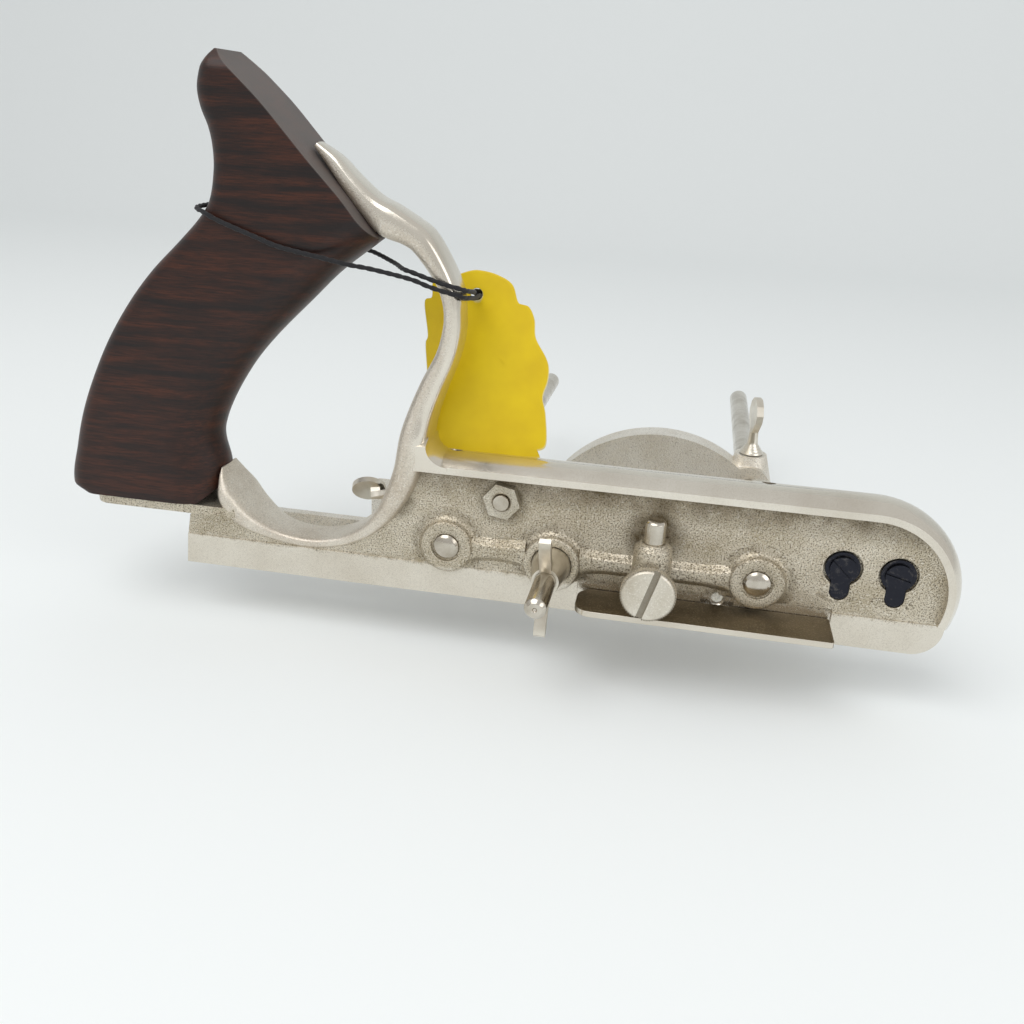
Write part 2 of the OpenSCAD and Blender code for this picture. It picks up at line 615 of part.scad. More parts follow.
module adjusting_lever() color(NICKEL) difference() {
    union() {
        plate(lever_y, lever_t) {
            translate([lever_x, lever_z]) circle(6.2);
            polygon([[lever_x, lever_z + 4.6], [pad_x + 4, pad_z + 3.2], [pad_x + 1, pad_z + 2],
                [pad_x + 1, pad_z - 1.6], [pad_x + 4, pad_z - 2.6], [lever_x, lever_z - 4.6]]);
            polygon([[lever_x, lever_z + 4.4], [lever_x + 11, lever_z + 4], [lever_x + 11, lever_z - 1],
                [lever_x, lever_z - 4.4]]);
            translate([lever_x + 11, lever_z + 1.5]) circle(2.5);
        }
        translate([pad_x + 1, lever_y, pad_z - 1.6]) cube([3, section_y - lever_y - 0.6, 3.6]);
        translate([pad_x, section_y - 1.6, pad_z]) rotate([-90 - 25, 0, 0])
            cylinder(r = pad_r, h = 1.8, center = true);
    }
    rod_y(lever_x, lever_z, lever_y - lap, lever_y + lever_t + lap, stud_r + fit);
}

module lever_stud() color(STEEL) {
    rod_y(lever_x, lever_z, nut_y - 0.7, stud_head_y + 0.5, stud_r);
    difference() {
        rod_y(lever_x, lever_z, stud_head_y, stud_head_y + 1.5, stud_r + 2, stud_r + 1.4);
        translate([lever_x - far, stud_head_y + 0.8, lever_z - 0.5]) cube([far * 2, 1, 1]);
    }
}

module lever_washer() color(STEEL) difference() {
    rod_y(lever_x, lever_z, washer_y, washer_y + washer_t, stud_r + 2.8);
    rod_y(lever_x, lever_z, washer_y - lap, washer_y + washer_t + lap, stud_r + fit);
}

module lever_nut() color(STEEL) difference() {
    translate([lever_x, nut_y, lever_z]) rotate([-90, 0, 0]) rotate(10)
        cylinder(r = nut_af / sqrt(3), h = nut_t, $fn = 6);
    rod_y(lever_x, lever_z, nut_y - lap, nut_y + nut_t + lap, stud_r + fit);
    rod_y(lever_x, lever_z, nut_y - 0.01, nut_y + 0.5, stud_r + 0.6, stud_r + fit);
}

// A spur with its cutting tab, in its keyhole
module spur(p, y0) difference() {
    plate(y0, spur_t) translate(p) {
        circle(spur_r);
        translate([-2.7, -7.1]) square([5.4, 7.1]);
        translate([0, -7.1]) circle(2.7);
    }
    rod_y(p[0], p[1], y0 - lap, y0 + spur_t + lap, spur_screw_r + fit);
}
stored_y = web_face + spur_sink - spur_t - fit;
module rear_stored_spur() color(BLUED) spur(STORED[0], stored_y);
module front_stored_spur() color(BLUED) spur(STORED[1], stored_y);

// A spur screw with a slot turned by angle a; s is 1 where its head faces right, -1 where left
module spur_screw(p, y, depth, a, s) difference() {
    translate([p[0], y, p[1]]) rotate([s * -90, 0, 0]) {
        translate([0, 0, -0.9]) cylinder(r = spur_head_r, h = 0.9);
        translate([0, 0, -0.5]) cylinder(r = spur_screw_r, h = depth + 0.5);
    }
    translate([p[0], y - s * 0.9, p[1]]) rotate([0, a, 0]) cube([far, 1, 0.9], center = true);
}
module stored_spur_screws() color(BLUED)
    for (i = [0, 1]) spur_screw(STORED[i], stored_y - fit, web_t, spur_slots[i], 1);

module sliding_section() color(NICKEL) difference() {
    union() {
        plate(section_y, skate_t) polygon([[-section_back, 0], [section_front - 6, 0], [section_front, 6],
            [section_front, section_h], [-section_back + 4, section_h], [-section_back, section_h - 4]]);
        plate(section_web_y, section_web_t) {
            translate([rear_arm_x - 5, section_h - 1.5]) square([front_arm_x - rear_arm_x + 10, 11.5]);
            for (x = [rear_arm_x - 5, front_arm_x + 5]) translate([x, arm_z + 1.2]) circle(6.4);
        }
        for (x = [rear_arm_x, front_arm_x]) {
            rod_y(x, arm_z, section_y, section_y + section_boss, section_boss_r);
            rod_z(x, section_screw_y, arm_z, section_screw_z, 5);
        }
    }
    for (x = [rear_arm_x, front_arm_x]) {
        rod_y(x, arm_z, section_y - lap, section_y + section_boss + lap, arm_r + fit);
        rod_z(x, section_screw_y, arm_z, far, thumb_r + fit);
    }
    plate(section_y - far, far * 2) polygon(MOUTH);
    rod_y(spur_seat[0], spur_seat[1], section_left - 1.45, section_left + lap, spur_r + 0.15);
    translate([spur_seat[0] - 2.9, section_left - 1.45, -lap]) cube([5.8, 9, spur_seat[1] + lap]);
    rod_y(spur_seat[0], spur_seat[1], section_y - lap, section_left + far, spur_screw_r + fit);
    translate([spur_seat[0] - spur_r - 0.15, section_left, -lap]) cube([spur_d + 0.3, far, 16]);
}

// A spade-headed thumbscrew that bears on an arm, its blade turned by angle a
module thumbscrew(x, y, seat, head, turn) {
    rod_z(x, y, shank_z, seat + gap + 0.5, thumb_r);
    for (i = [0:3]) rod_z(x, y, seat + gap + i * head * 0.1, seat + gap + (i + 1) * head * 0.1,
        4.3 - 0.65 * i, 3.9 - 0.65 * i);
    rod_z(x, y, seat + gap + head * 0.4, seat + gap + head, 1.95, blade_t / 2 + 0.3);
    translate([x, y, seat + gap + head]) rotate([0, 0, turn]) plate(-blade_t / 2, blade_t) {
        polygon([[-1.3, -1.5], [-blade_w / 2 + 0.6, head * 0.35], [-blade_w / 2, head * 0.65],
            [-blade_w / 2 + 1.5, head], [-1.6, head * 1.22], [1.6, head * 1.22],
            [blade_w / 2 - 1.5, head], [blade_w / 2, head * 0.65], [blade_w / 2 - 0.6, head * 0.35],
            [1.3, -1.5]]);
    }
}
module rear_section_thumbscrew() color(STEEL)
    thumbscrew(rear_arm_x, section_screw_y, section_screw_z, 5, 20);
module front_section_thumbscrew() color(STEEL)
    thumbscrew(front_arm_x, section_screw_y, section_screw_z, 5, -15);

module section_spur() color(BLUED) translate([0, 2 * section_left, 0]) mirror([0, 1, 0])
    spur(spur_seat, section_left);
module section_spur_screw() color(BLUED)
    spur_screw(spur_seat, section_left + fit + 1, 2.5, 30, -1);

module fence_outline() {
    intersection() {
        translate([arch_x, arch_z]) circle(arch_r, $fn = 96);
        translate([-far * 2, rail_z - lap]) square([far * 4, far]);
    }
    translate([-fence_back, -fence_drop]) square([fence_back + fence_front, fence_drop + rail_z]);
}

module fence() color(NICKEL) difference() {
    union() {
        plate(fence_y, fence_wall) fence_outline();
        plate(fence_y, fence_rim) {
            difference() {
                intersection() {
                    translate([arch_x, arch_z]) circle(arch_r, $fn = 96);
                    translate([-far * 2, rail_z - lap]) square([far * 4, far]);
                }
                translate([arch_x, arch_z]) circle(arch_r - 3, $fn = 96);
            }
            translate([-fence_back, rail_z - 3]) square([fence_back + fence_front, 3]);
            translate([-fence_back, -fence_drop]) square([fence_back + fence_front, 3]);
            for (x = [-fence_back, fence_front - 3])
                translate([x, -fence_drop]) square([3, fence_drop + rail_z]);
        }
        for (x = [rear_arm_x, front_arm_x]) {
            rod_y(x, arm_z, fence_y, fence_y + sleeve_len, sleeve_r);
            rod_z(x, fence_screw_y, arm_z - 5, fence_seat_z, 10.2, 5.7);
            translate([x - 5, fence_y, 0]) cube([10, fence_rim, arm_z - 5]);
        }
    }
    for (x = [rear_arm_x, front_arm_x]) {
        rod_y(x, arm_z, fence_y - far, fence_y + far, arm_r + fit);
        rod_z(x, fence_screw_y, arm_z, far, thumb_r + fit);
        translate([x - far / 2, fence_y - far, -far]) cube([far, far, far * 2]);
    }
    for (x = facing_x) rod_y(x, facing_z, fence_y - lap, fence_y + fence_wall + lap, facing_hole_d / 2);
}
module rear_fence_thumbscrew() color(STEEL)
    thumbscrew(rear_arm_x, fence_screw_y, fence_seat_z, 9.2, 60);
module front_fence_thumbscrew() color(STEEL)
    thumbscrew(front_arm_x, fence_screw_y, fence_seat_z, 9.2, 100);

module tag() color(CARD) translate([tag_x, tag_y, tag_z]) rotate([90 - tag_lean, 0, 0])
    linear_extrude(tag_t) difference() {
        polygon(TAG);
        translate(tag_hole) circle(1.8);
    }

// Ring of the string at p, across the line from a to b
function string_ring(a, b, p) = let (d = (b - a) / norm(b - a), s = cross(d, [0.05, 0.02, 1]),
    u = s / norm(s), v = cross(u, d)) [for (t = [0:45:315]) p + string_r * (u * cos(t) + v * sin(t))];

module tag_string() color(CORD) {
    path = curve(ROUTE, 2);
    last = len(path) - 1;
    loft([for (i = [0:last]) string_ring(path[max(i - 1, 0)], path[min(i + 1, last)], path[i])]);
}

module string_knot() color(CORD) translate(knot_at) sphere(string_d * 1.5);

main_stock();
handle_loop();
wooden_handle();
handle_screw();
rear_arm();
front_arm();
arm_set_screws();
depth_rod();
depth_foot();
depth_screw();
clamp_bolt();
wing_nut();
adjusting_lever();
lever_stud();
lever_washer();
lever_nut();
rear_stored_spur();
front_stored_spur();
stored_spur_screws();
sliding_section();
rear_section_thumbscrew();
front_section_thumbscrew();
section_spur();
section_spur_screw();
fence();
rear_fence_thumbscrew();
front_fence_thumbscrew();
tag();
tag_string();
string_knot();
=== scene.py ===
"""Looks of the combination plane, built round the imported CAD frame.

Tables of places are in millimetres, as a drawing has them, and become metres with MM. X runs along
the skate towards the toe, Y to the left and Z up, with the sole at zero height.
"""

import json
import math

import bmesh
import bpy
import numpy as np
from mathutils import Matrix


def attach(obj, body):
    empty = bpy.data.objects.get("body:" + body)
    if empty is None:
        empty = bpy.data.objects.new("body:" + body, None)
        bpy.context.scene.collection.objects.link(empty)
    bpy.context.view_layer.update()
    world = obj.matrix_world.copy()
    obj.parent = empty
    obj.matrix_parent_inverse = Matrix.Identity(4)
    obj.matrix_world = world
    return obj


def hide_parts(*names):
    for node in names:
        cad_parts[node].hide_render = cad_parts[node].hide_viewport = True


MM = 0.001
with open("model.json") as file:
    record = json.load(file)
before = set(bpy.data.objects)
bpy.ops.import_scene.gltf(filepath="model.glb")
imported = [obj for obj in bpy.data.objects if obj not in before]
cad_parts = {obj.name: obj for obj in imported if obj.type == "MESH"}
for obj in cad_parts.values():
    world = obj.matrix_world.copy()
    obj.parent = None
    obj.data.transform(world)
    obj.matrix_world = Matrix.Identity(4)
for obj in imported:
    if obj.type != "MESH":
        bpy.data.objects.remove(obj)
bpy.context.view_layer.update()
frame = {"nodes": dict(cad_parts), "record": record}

# Camera
LENS = 34.887
SENSOR = 36.0
EYE = (0.033655, -0.27244, 0.138868)
EYE_RIGHT = (0.98169, 0.18405, 0.04906)
EYE_UP = (-0.11282, 0.35431, 0.92830)
EYE_BACK = (0.15347, -0.91684, 0.36859)


def make_camera():
    data = bpy.data.cameras.new("camera")
    data.lens = LENS
    data.sensor_width = SENSOR
    data.clip_start = 0.01
    data.clip_end = 20
    camera = bpy.data.objects.new("camera", data)
    turn = Matrix((EYE_RIGHT, EYE_UP, EYE_BACK)).transposed().to_4x4()
    camera.matrix_world = Matrix.Translation(EYE) @ turn
    bpy.context.scene.collection.objects.link(camera)
    bpy.context.scene.camera = camera


make_camera()

# Meshes


def ring_quads(rows, count, joined=False):
    """Quads of a grid whose rows are closed rings: point (i, j) joins (i, j+1), (i+1, j+1) and
    (i+1, j). With joined the last ring also joins the first, as on a torus."""
    i, j = np.meshgrid(np.arange(rows if joined else rows - 1), np.arange(count), indexing="ij")
    nxt, up = (j + 1) % count, (i + 1) % rows
    quads = np.stack([i * count + j, i * count + nxt, up * count + nxt, up * count + j], -1)
    return quads.reshape(-1, 4)


def put_piece(name, points, faces, finish, body="stock", sharp=180, values=None):
    """Makes a mesh object from points (n, 3) in metres and faces, with edges over `sharp` degrees
    kept crisp. values holds the named numbers at each point that the finish reads."""
    mesh = bpy.data.meshes.new(name)
    mesh.from_pydata(np.asarray(points, float).tolist(), [], [list(map(int, f)) for f in faces])
    for key, numbers in (values or {}).items():
        mesh.attributes.new(key, "FLOAT", "POINT").data.foreach_set(
            "value", np.asarray(numbers, np.float32).ravel())
    settle(mesh, sharp)
    mesh.materials.append(finish)
    piece = bpy.data.objects.new(name, mesh)
    bpy.context.scene.collection.objects.link(piece)
    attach(piece, body)
    return piece


def settle(mesh, sharp):
    """Turns the faces outwards and shades them smooth but for the edges over `sharp` degrees."""
    work = bmesh.new()
    work.from_mesh(mesh)
    bmesh.ops.recalc_face_normals(work, faces=work.faces)
    work.to_mesh(mesh)
    work.free()
    mesh.polygons.foreach_set("use_smooth", np.ones(len(mesh.polygons), bool))
    mesh.set_sharp_from_angle(angle=math.radians(sharp))


def skin(rings, joined=False):
    """Points and faces over rings (rows, count, 3): quads along it and, unless it is joined end to
    end, one flat face over each end."""
    rows, count = rings.shape[:2]
    faces = ring_quads(rows, count, joined).tolist()
    if not joined:
        faces += [list(range(count))[::-1], list(range((rows - 1) * count, rows * count))]
    return rings.reshape(-1, 3), faces


def smooth_line(points, steps, closed=False):
    """Catmull-Rom curve through the points: between p1 and p2, with neighbours p0 and p3, it is
    p1 + ((p2-p0)u + (2p0-5p1+4p2-p3)u^2 + (3p1-p0-3p2+p3)u^3) / 2, with `steps` values of u."""
    p = np.asarray(points, float)
    p = np.vstack([p[-1:], p, p[:2]]) if closed else np.vstack([p[:1], p, p[-1:]])
    a, b, c, d = (p[k:len(p) - 3 + k, None] for k in range(4))
    u = (np.arange(steps) / steps)[None, :, None]
    line = b + ((c - a) * u + (2 * a - 5 * b + 4 * c - d) * u ** 2
                + (3 * b - a - 3 * c + d) * u ** 3) / 2
    line = line.reshape(-1, p.shape[1])
    return line if closed else np.vstack([line, p[-2:-1]])


def smooth_table(v, table):
    """Value at v of the cubic Hermite curve through (v, value) rows, its slope at a row the rise
    between that row's two neighbours."""
    t = np.asarray(table, float)
    before, after = np.vstack([t[:1], t[:-1]]), np.vstack([t[1:], t[-1:]])
    slope = (after[:, 1] - before[:, 1]) / (after[:, 0] - before[:, 0])
    i = np.clip(np.searchsorted(t[:, 0], v, side="right") - 1, 0, len(t) - 2)
    h = t[i + 1, 0] - t[i, 0]
    u = (v - t[i, 0]) / h
    return (t[i, 1] * (2 * u ** 3 - 3 * u ** 2 + 1) + slope[i] * h * (u ** 3 - 2 * u ** 2 + u)
            + t[i + 1, 1] * (3 * u ** 2 - 2 * u ** 3) + slope[i + 1] * h * (u ** 3 - u ** 2))


def turned(profile, count, centre, axis="y"):
    """Rings of a turned piece: row (along, radius) of the profile goes round the axis at `centre`."""
    profile = np.asarray(profile, float)
    a = np.arange(count) * 2 * np.pi / count
    along, r = profile[:, :1] + 0 * a, profile[:, 1:2] + 0 * a
    u, v = r * np.cos(a), r * np.sin(a)
    spots = {"y": (u, along, v), "z": (u, v, along)}[axis]
    return np.stack(spots, -1) + np.asarray(centre, float)


# Finishes


class Finish:
    """A material's node tree, with short ways to add its parts."""

    def __init__(self, name):
        self.material = bpy.data.materials.new(name)
        self.material.use_nodes = True
        self.nodes = self.material.node_tree.nodes
        self.links = self.material.node_tree.links
        self.shader = self.nodes["Principled BSDF"]
        self.place = self.nodes.new("ShaderNodeTexCoord").outputs["Object"]

    def add(self, kind, settings=None, **inputs):
        node = self.nodes.new(kind)
        for key, value in (settings or {}).items():
            setattr(node, key, value)
        for key, value in inputs.items():
            self.feed(node, key.replace("_", " "), value)
        return node

    def feed(self, node, key, value):
        socket = node.inputs[int(key[1:])] if key[0] == "i" and key[1:].isdigit() else node.inputs[key]
        if isinstance(value, bpy.types.NodeSocket):
            self.links.new(value, socket)
        else:
            socket.default_value = value

    def turned_place(self, turn=(0, 0, 0), scale=(1, 1, 1)):
        return self.add("ShaderNodeMapping", Vector=self.place, Rotation=turn, Scale=scale).outputs[0]

    def noise(self, scale, detail=3.0, rough=0.5, place=None):
        return self.add("ShaderNodeTexNoise", Vector=place or self.place, Scale=scale, Detail=detail,
                        Roughness=rough).outputs["Fac"]

    def ramp(self, fac, low, high, start=0.0, end=1.0):
        """Straight rise from `start` where fac is low to `end` where it is high."""
        node = self.add("ShaderNodeMapRange", i0=fac, i1=low, i2=high, i3=start, i4=end)
        return node.outputs[0]

    def mix(self, fac, first, second):
        node = self.add("ShaderNodeMix", {"data_type": "RGBA"}, i0=fac, i6=first, i7=second)
        return node.outputs[2]

    def math(self, operation, first, second=0.0):
        return self.add("ShaderNodeMath", {"operation": operation}, i0=first, i1=second).outputs[0]

    def bump(self, height, distance, strength):
        node = self.add("ShaderNodeBump", Height=height, Distance=distance, Strength=strength)
        return node.outputs[0]

    def attribute(self, name):
        return self.add("ShaderNodeAttribute", {"attribute_name": name}).outputs["Fac"]

    def axis(self, letter):
        split = self.add("ShaderNodeSeparateXYZ", Vector=self.place)
        return split.outputs["XYZ".index(letter)]

    def facing(self, letter):
        """How far the surface's own normal points along an axis."""
        normal = self.add("ShaderNodeNewGeometry").outputs["Normal"]
        return self.add("ShaderNodeSeparateXYZ", Vector=normal).outputs["XYZ".index(letter)]

    def surface(self, **inputs):
        for key, value in inputs.items():
            self.feed(self.shader, key.replace("_", " "), value)
        return self.material


def rgb(code):
    """Linear colour, with alpha, of a six-figure code."""
    parts = np.array([int(code[k:k + 2], 16) for k in (0, 2, 4)]) / 255
    line = np.where(parts <= 0.04045, parts / 12.92, ((parts + 0.055) / 1.055) ** 2.4)
    return (*map(float, line), 1.0)


def cast_nickel(name, base, dark, light, pits=1.0, polish=None, grain=1.0, shade_and_grime=None):
    """Plating over a sand casting: a fine speckle of dark pits and bright worn grains on a cloudy
    base. Where polish is 1 the metal is bright and smooth, and where the brown mask is 1 it is
    brown, which is painted shade, on the stock mixed with grime."""
    f = Finish(name)
    grains = f.noise(1900, 2.0, 0.65)
    pit = f.ramp(f.noise(2300, 2.5, 0.75), 0.50, 0.64)
    glint = f.ramp(grains, 0.54, 0.68)
    colour = f.mix(f.ramp(f.noise(70, 4.0, 0.6), 0.35, 0.7), rgb(base), rgb(dark))
    colour = f.mix(f.math("MULTIPLY", glint, 0.6), colour, rgb(light))
    # The brown mixed in here is painted shade, and on the stock also grime.
    if shade_and_grime is not None:
        colour = f.mix(shade_and_grime(f), colour, rgb("54462c"))
    colour = f.mix(f.math("MULTIPLY", pit, 0.85 * pits), colour, rgb("463821"))
    rough = f.ramp(grains, 0.3, 0.7, 0.34, 0.50)
    height = f.math("SUBTRACT", f.math("MULTIPLY", grains, 0.5 * grain), f.math("MULTIPLY", pit, pits))
    if polish is not None:
        shine = polish(f)
        bright = f.mix(f.ramp(f.noise(40, 3.0), 0.3, 0.7), rgb("e6e0d4"), rgb("d3cbbd"))
        bright = f.mix(f.math("MULTIPLY", pit, 0.10 * pits), bright, rgb("7d6e58"))
        colour = f.mix(shine, colour, bright)
        rough = f.math("SUBTRACT", rough, f.math("MULTIPLY", shine, 0.23))
        height = f.math("MULTIPLY", height, f.ramp(shine, 0.0, 1.0, 1.0, 0.03))
    return f.surface(Base_Color=colour, Metallic=0.92, Roughness=rough,
                     Normal=f.bump(height, 0.00022, 0.5))


def bright_nickel(name, base, dark, rough, lines=(1, 1, 1)):
    """Polished plating with faint cloudy tarnish and hair lines."""
    f = Finish(name)
    cloud = f.noise(120, 4.0, 0.6)
    hair = f.noise(700, 2.0, 0.5, f.turned_place(scale=lines))
    colour = f.mix(f.ramp(cloud, 0.4, 0.75), rgb(base), rgb(dark))
    return f.surface(Base_Color=colour, Metallic=1.0,
                     Roughness=f.ramp(cloud, 0.3, 0.7, rough, rough + 0.12),
                     Normal=f.bump(hair, 0.00004, 0.5))


def blued_steel():
    """Dark heat-blued steel, worn a little where it is rubbed."""
    f = Finish("blued_steel")
    wear = f.ramp(f.noise(500, 4.0, 0.7), 0.55, 0.8)
    colour = f.mix(wear, rgb("2b2c33"), rgb("6e6a66"))
    return f.surface(Base_Color=colour, Metallic=0.9, Roughness=f.ramp(wear, 0, 1, 0.28, 0.45),
                     Normal=f.bump(f.noise(1500), 0.00005, 0.4))


def rosewood():
    """Dark rosewood: brown and black streaks almost level across the handle, with fine open pores
    along them, under a worn satin finish. The flat front facet is sawn greyer."""
    f = Finish("rosewood")
    along = f.turned_place((0, math.radians(-4), 0), (6, 22, 75))
    broad = f.noise(5.0, 4.0, 0.6, along)
    fine = f.noise(1.0, 5.0, 0.7, f.turned_place((0, math.radians(-4), 0), (160, 900, 2300)))
    colour = f.mix(f.ramp(broad, 0.36, 0.66), rgb("1a0c09"), rgb("45200f"))
    colour = f.mix(f.ramp(fine, 0.35, 0.60, 0.75, 0.0), colour, rgb("0d0706"))
    grey = f.attribute("facet")
    colour = f.mix(f.math("MULTIPLY", grey, 0.55), colour, rgb("77706c"))
    return f.surface(Base_Color=colour, Roughness=f.ramp(grey, 0, 1, 0.40, 0.55),
                     Specular_IOR_Level=0.38, Normal=f.bump(fine, 0.00006, 0.5))


def yellow_card():
    """Printed yellow card: an even ink coat over faint fibres, pale at its cut edge."""
    f = Finish("yellow_card")
    fibre = f.noise(900, 4.0, 0.7)
    cloud = f.noise(60, 3.0, 0.6)
    colour = f.mix(f.ramp(cloud, 0.3, 0.7), rgb("e2c404"), rgb("d4b302"))
    colour = f.mix(f.attribute("edge"), colour, rgb("d8cfa2"))
    return f.surface(Base_Color=colour, Roughness=0.42, Specular_IOR_Level=0.4,
                     Normal=f.bump(fibre, 0.00003, 0.5))


def black_cord():
    """Black cotton string, matt, with fine fibres."""
    f = Finish("black_cord")
    fibre = f.noise(2500, 3.0, 0.7)
    return f.surface(Base_Color=f.mix(fibre, rgb("0a0a0b"), rgb("222125")), Roughness=0.85,
                     Sheen_Weight=0.1, Normal=f.bump(fibre, 0.0001, 0.6))


CORD_FINISH = black_cord()
CARD_FINISH = yellow_card()

# String and its knot
STRING_D = 1.4
STRING_TWIST = 2.6
KNOT_SIZE = 0.46
KNOT_AT = (-29.9, 25.3, 88.8)
ROUTE = [
    [-29.1, 24.2, 88.6], [-29.1, 20.5, 88.9], [-28.5, 14, 89.4], [-28.1, 6, 90.7],
    [-28.2, 0, 91.6], [-29.8, -2.9, 92.6], [-33.5, -3.5, 93.4], [-38, -3.9, 94.6],
    [-43, -5, 96.4], [-53.6, -6, 98.4], [-60, -7.6, 99.4], [-66.7, -8.4, 100.7],
    [-79, -8.4, 102.8], [-86, -8.4, 105], [-96.6, -8.4, 108.6], [-101, -8.2, 110.6],
    [-104.8, -4.5, 111.4], [-105.4, 4.7, 111.6], [-104.8, 13.9, 111.4], [-101, 17.6, 110.4],
    [-90, 17.9, 106.4], [-78, 17.9, 102.6], [-68, 17.8, 101], [-61, 16.4, 100.3],
    [-51, 6.4, 98.9], [-46, -1.5, 98.5], [-43, -3.1, 98], [-38, -3, 96.5],
    [-33.5, -3, 95.3], [-29.5, -2.8, 94.5], [-27.9, 0, 93.6], [-27.8, 6, 92.5],
    [-29, 14, 91.2], [-30.7, 20.5, 90], [-30.7, 24.2, 89.2]]


def tube_frames(line, closed=False):
    """Two unit vectors across a line at each point: one level, from the travel crossed with an
    almost upright axis, the other square to both."""
    if closed:
        travel = np.roll(line, -1, 0) - np.roll(line, 1, 0)
    else:
        travel = np.gradient(line, axis=0)
    travel /= np.linalg.norm(travel, axis=1, keepdims=True)
    side = np.cross(travel, (0.05, 0.02, 1.0))
    side /= np.linalg.norm(side, axis=1, keepdims=True)
    return side, np.cross(side, travel)


def twisted_tube(line, diameter, lay, closed=False, count=16):
    """Two plies laid round each other: at distance s along the line and angle a round it, the
    radius is diameter/2 * (0.70 + 0.295 sqrt(cos(a - pi s / lay)^2 + 0.03)), so each section is a
    waisted pair of lobes that turns once in twice `lay`."""
    side, over = tube_frames(line, closed)
    step = np.linalg.norm(np.diff(line, axis=0), axis=1)
    s = np.concatenate([[0], np.cumsum(step)])[:, None]
    a = np.arange(count) * 2 * np.pi / count
    lobe = np.sqrt(np.cos(a - np.pi * s / lay) ** 2 + 0.03)
    r = diameter / 2 * (0.70 + 0.295 * lobe)
    return (line[:, None] + (r * np.cos(a))[..., None] * side[:, None]
            + (r * np.sin(a))[..., None] * over[:, None])


def make_string():
    """The string along its route, and its knot, which is a small trefoil: at angle u it lies at
    (sin u + 2 sin 2u, -0.8 sin 3u, cos u - 2 cos 2u) times its size."""
    fine = smooth_line(ROUTE, 14) * MM
    points, faces = skin(twisted_tube(fine, STRING_D * MM, STRING_TWIST * MM))
    string = put_piece("tag_cord", points, faces, CORD_FINISH)
    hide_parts("tag_string")
    u = np.linspace(0, 2 * np.pi, 96, endpoint=False)
    curl = np.stack([np.sin(u) + 2 * np.sin(2 * u), -0.8 * np.sin(3 * u),
                     np.cos(u) - 2 * np.cos(2 * u)], -1)
    curl = (np.array(KNOT_AT) + curl * KNOT_SIZE) * MM
    points, faces = skin(twisted_tube(curl, STRING_D * MM, STRING_TWIST * MM, closed=True), joined=True)
    knot = put_piece("cord_knot", points, faces, CORD_FINISH)
    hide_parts("string_knot")


make_string()

# Tag
TAG_BASE = (-21.5, 10.8, 45.1)
TAG_LEAN = 15
TAG_T = 0.5
TAG_HOLE = (-8.4, 45.6)
TAG_HOLE_R = 1.8
TAG = [
    [-20.7, 48.2], [-11.5, 52.2], [-6.9, 52.6], [-1.9, 51.5], [2.3, 49.1], [4.6, 44], [7.8, 43.1],
    [9.9, 39.4], [10.8, 34.1], [14.3, 28.8], [15.6, 25.6], [15.7, 21.5], [14.7, 16.6], [16.1, 11.3],
    [17, 2.3], [13.5, 0.1], [13.7, -1.9], [-15.2, -1.7], [-18.2, 1.2], [-22, 23.4], [-22.9, 29.7],
    [-22.5, 32.5], [-24.3, 42], [-22.2, 43.7], [-22.3, 47.8]]


def make_tag():
    """A card cut to a wavy outline round its hole: point (f, k) lies the fraction f of the way from
    the hole's edge to point k of the outline, in front and then back again behind. The card bows
    by a low sine across and along it."""
    outline = smooth_line(TAG, 8, closed=True)
    hole = np.array(TAG_HOLE)
    away = outline - hole
    rim = hole + TAG_HOLE_R * away / np.linalg.norm(away, axis=1, keepdims=True)
    f = np.array([0, 0.02, 0.06, 0.15, 0.3, 0.45, 0.6, 0.75, 0.9, 0.985, 1.0])[:, None, None]
    sheet = rim + (outline - rim) * f
    bow = 0.22 * np.sin(sheet[..., 1] / 9.5 + 0.6) + 0.16 * np.sin(sheet[..., 0] / 7.0)
    half = np.full(f.shape[0], TAG_T / 2)
    half[[0, -1]] *= 0.7
    front = np.dstack([sheet, bow + half[:, None] + TAG_T / 2])
    back = np.dstack([sheet, bow - half[:, None] + TAG_T / 2])[::-1]
    both = np.vstack([front, back])
    lean = math.radians(90 - TAG_LEAN)
    s, t, w = both[..., 0], both[..., 1], both[..., 2]
    x = TAG_BASE[0] + s
    y = TAG_BASE[1] + t * math.cos(lean) - w * math.sin(lean)
    z = TAG_BASE[2] + t * math.sin(lean) + w * math.cos(lean)
    edge = np.zeros(both.shape[:2])
    edge[[0, len(f) - 1, len(f), -1]] = 1
    points, faces = skin(np.stack([x, y, z], -1) * MM, joined=True)
    tag = put_piece("card_tag", points, faces, CARD_FINISH, sharp=50,
                    values={"edge": edge})
    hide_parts("tag")


make_tag()

# Handle loop
HEEL = -117.5
LOOP_Y = 4.7
LOOP_W = 13
LOOP = [
    [13.2, 33.2, 0.8, -3, 0], [13.9, 29.4, 3.4, 2.5, 0], [15.8, 24.2, 6.8, 7, 0],
    [20.6, 18.2, 6.8, 6, 0], [29.5, 13.2, 4.4, 1.2, 0], [40.5, 11.4, 3.8, 0, 0],
    [51.5, 13.2, 3.9, 0, 0.3], [60, 17.7, 4.8, 0, 1], [66, 24, 6.2, 0, 2.1], [70.2, 31, 8, 0, 2.7],
    [73.2, 39, 9, 0, 2.7], [75, 49, 9.2, 0, 2.6], [77, 57, 8.2, 0, 1.3], [80.1, 65.5, 7.4, 0, 0.5],
    [83.5, 73.3, 6.5, 0, 0], [85.2, 80, 6, 0, 0], [85.5, 86, 5.4, 0, 0], [84.6, 92, 5.8, 0, 0],
    [81.9, 97.8, 6.2, 0, 0], [76.5, 105.3, 7.5, 0, 0], [72.2, 108.2, 8, 0, 0],
    [66, 110.9, 9.3, 0, 0], [60.9, 114.6, 7, -1, 0], [55.4, 120, 5.5, -2.5, 0],
    [50.5, 125.3, 4.4, -4.5, 0], [45.5, 129.5, 2, -7, 0]]
LOOP_ROUND = 0.62

